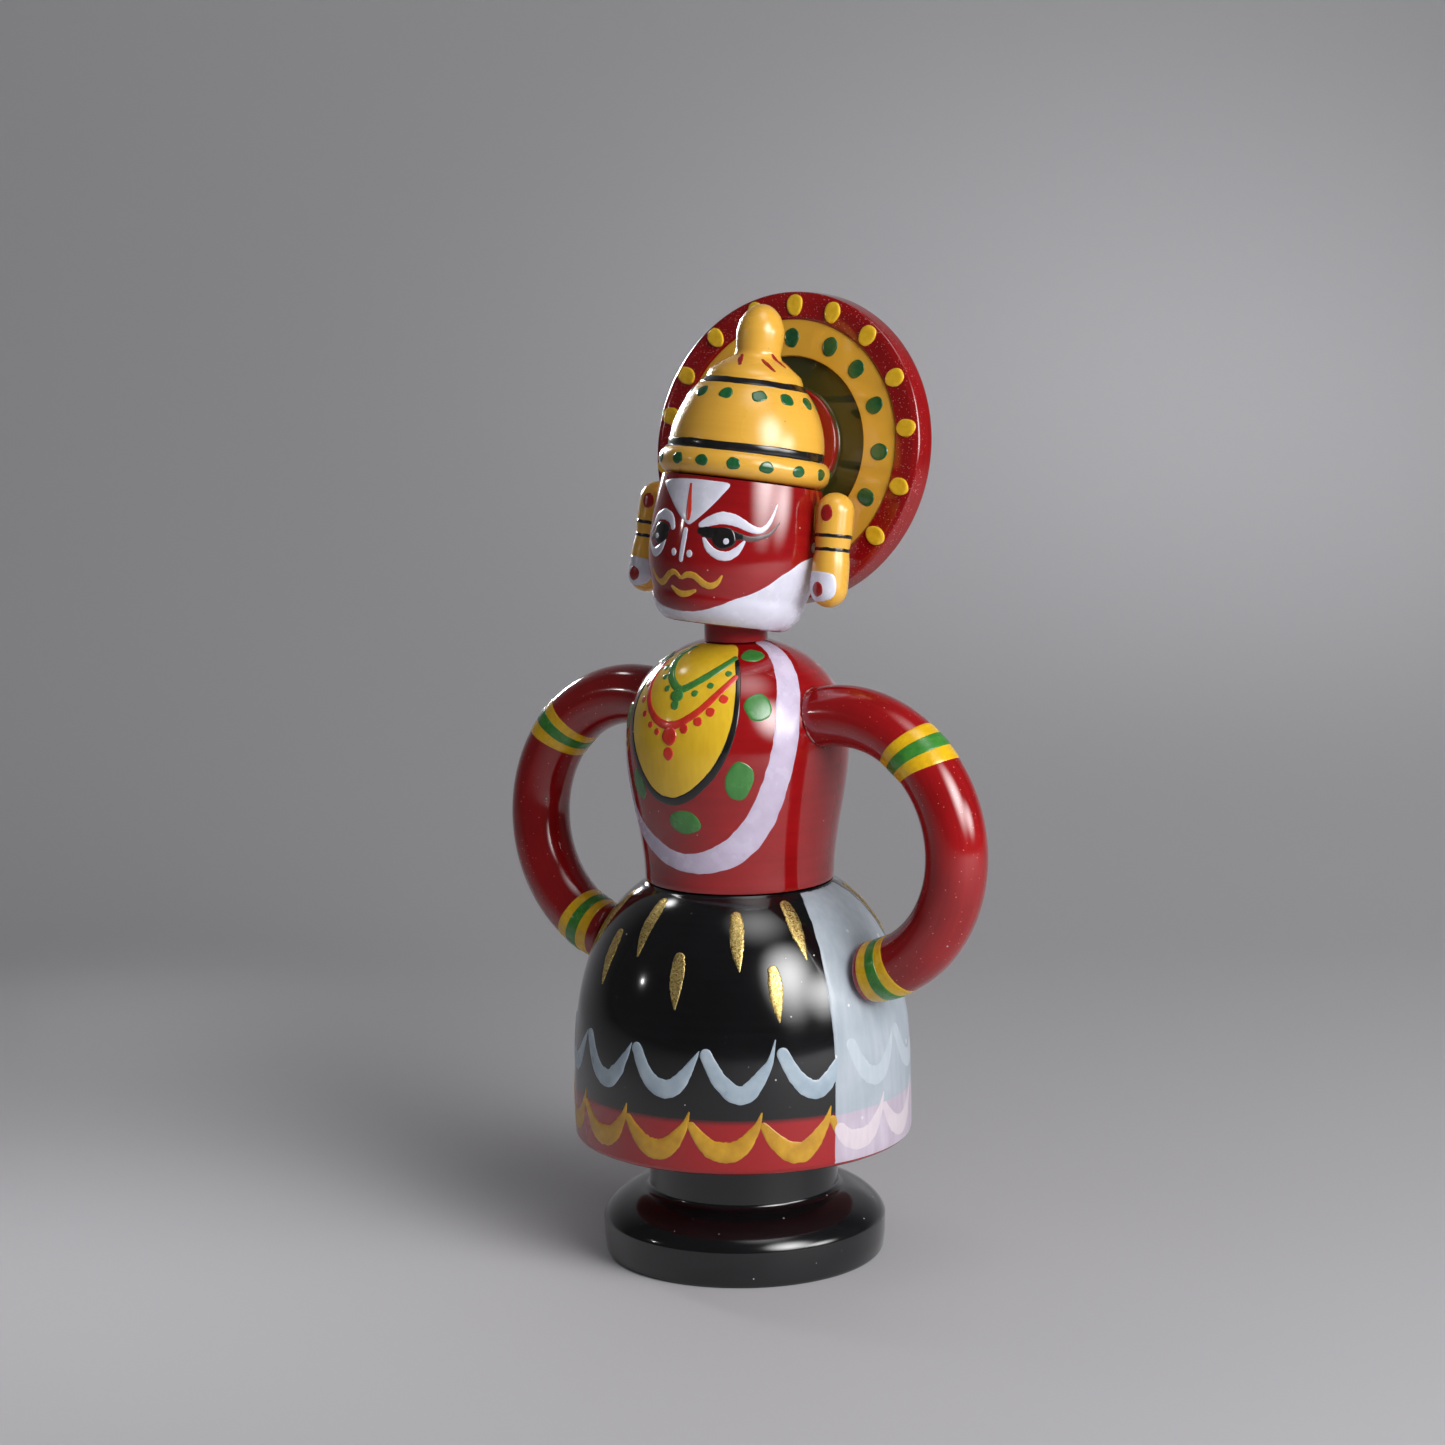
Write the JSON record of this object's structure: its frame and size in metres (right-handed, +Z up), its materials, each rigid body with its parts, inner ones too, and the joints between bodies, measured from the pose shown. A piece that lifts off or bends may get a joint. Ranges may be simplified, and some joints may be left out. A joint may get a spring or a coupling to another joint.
{
  "type": "lathe-turned wooden dancer doll",
  "caption": "Free-standing lathe-turned wooden dancer doll: plinth, domed skirt, torso, ring arms on the hips, and a spring-necked nodding head with crown, halo disc and ear ornaments.",
  "frame": {"origin": "centre of the plinth's flat underside", "axes": "+Z up along the turning axis, the doll faces -Y, +X towards the doll's own left hand"},
  "size_m": [0.133, 0.0776, 0.2194],
  "materials": {
    "black_lac": "turned wood under glossy black lac",
    "skirt_lac": "turned wood under glossy black lac with a red hem and hand-painted scallops, flecks and side panels",
    "red_lac": "turned wood under glossy red lac with hand-painted ornament",
    "face_lac": "turned wood under glossy red lac with a hand-painted face and white beard band",
    "halo_lac": "turned wood under glossy red, yellow and black lac rings with raised paint dots",
    "yellow_lac": "turned wood under satin to glossy yellow lac with painted bands and dots",
    "bare_wood": "plain turned hardwood, unfinished",
    "spring_wire": "bright drawn spring wire"
  },
  "bodies": {
    "root": {"base_plinth": "black_lac", "skirt": "skirt_lac", "torso": "red_lac", "neck_stub": "red_lac", "spine_dowel": "bare_wood", "arm_left": "red_lac", "arm_right": "red_lac", "shoulder_pin_left": "bare_wood", "shoulder_pin_right": "bare_wood", "hip_pin_left": "bare_wood", "hip_pin_right": "bare_wood"},
    "coil": {"neck_spring": "spring_wire"},
    "spring_end": {"spring_plug": "bare_wood"},
    "head_group": {"head": "face_lac", "crown": "yellow_lac", "halo_disc": "halo_lac", "crown_dowel": "bare_wood", "halo_peg": "bare_wood", "ear_left": "yellow_lac", "ear_right": "yellow_lac", "ear_pin_left": "bare_wood", "ear_pin_right": "bare_wood"}
  },
  "joints": [
    {"name": "head_nod", "type": "hinge", "parent": "root", "child": "coil", "pos_m": [0, 0, 0.16321], "axis": [0.9976, 0.0696, 0], "range_deg": [-3, 20], "stiffness_Nm_per_rad": 0.3, "springref_deg": 0.6, "deforming": ["neck_spring"]},
    {"name": "head_sway", "type": "hinge", "parent": "coil", "child": "spring_end", "pos_m": [0, 0, 0.16321], "axis": [-0.0686, 0.984, -0.1645], "range_deg": [-8, 4], "stiffness_Nm_per_rad": 0.3, "springref_deg": -0.06, "deforming": ["neck_spring"]},
    {"name": "head_turn", "type": "hinge", "parent": "spring_end", "child": "head_group", "pos_m": [0, 0, 0.16321], "axis": [0.0418, 0.1676, 0.985], "range_deg": [-20, 20], "stiffness_Nm_per_rad": 0.15, "springref_deg": 0.04}
  ]
}
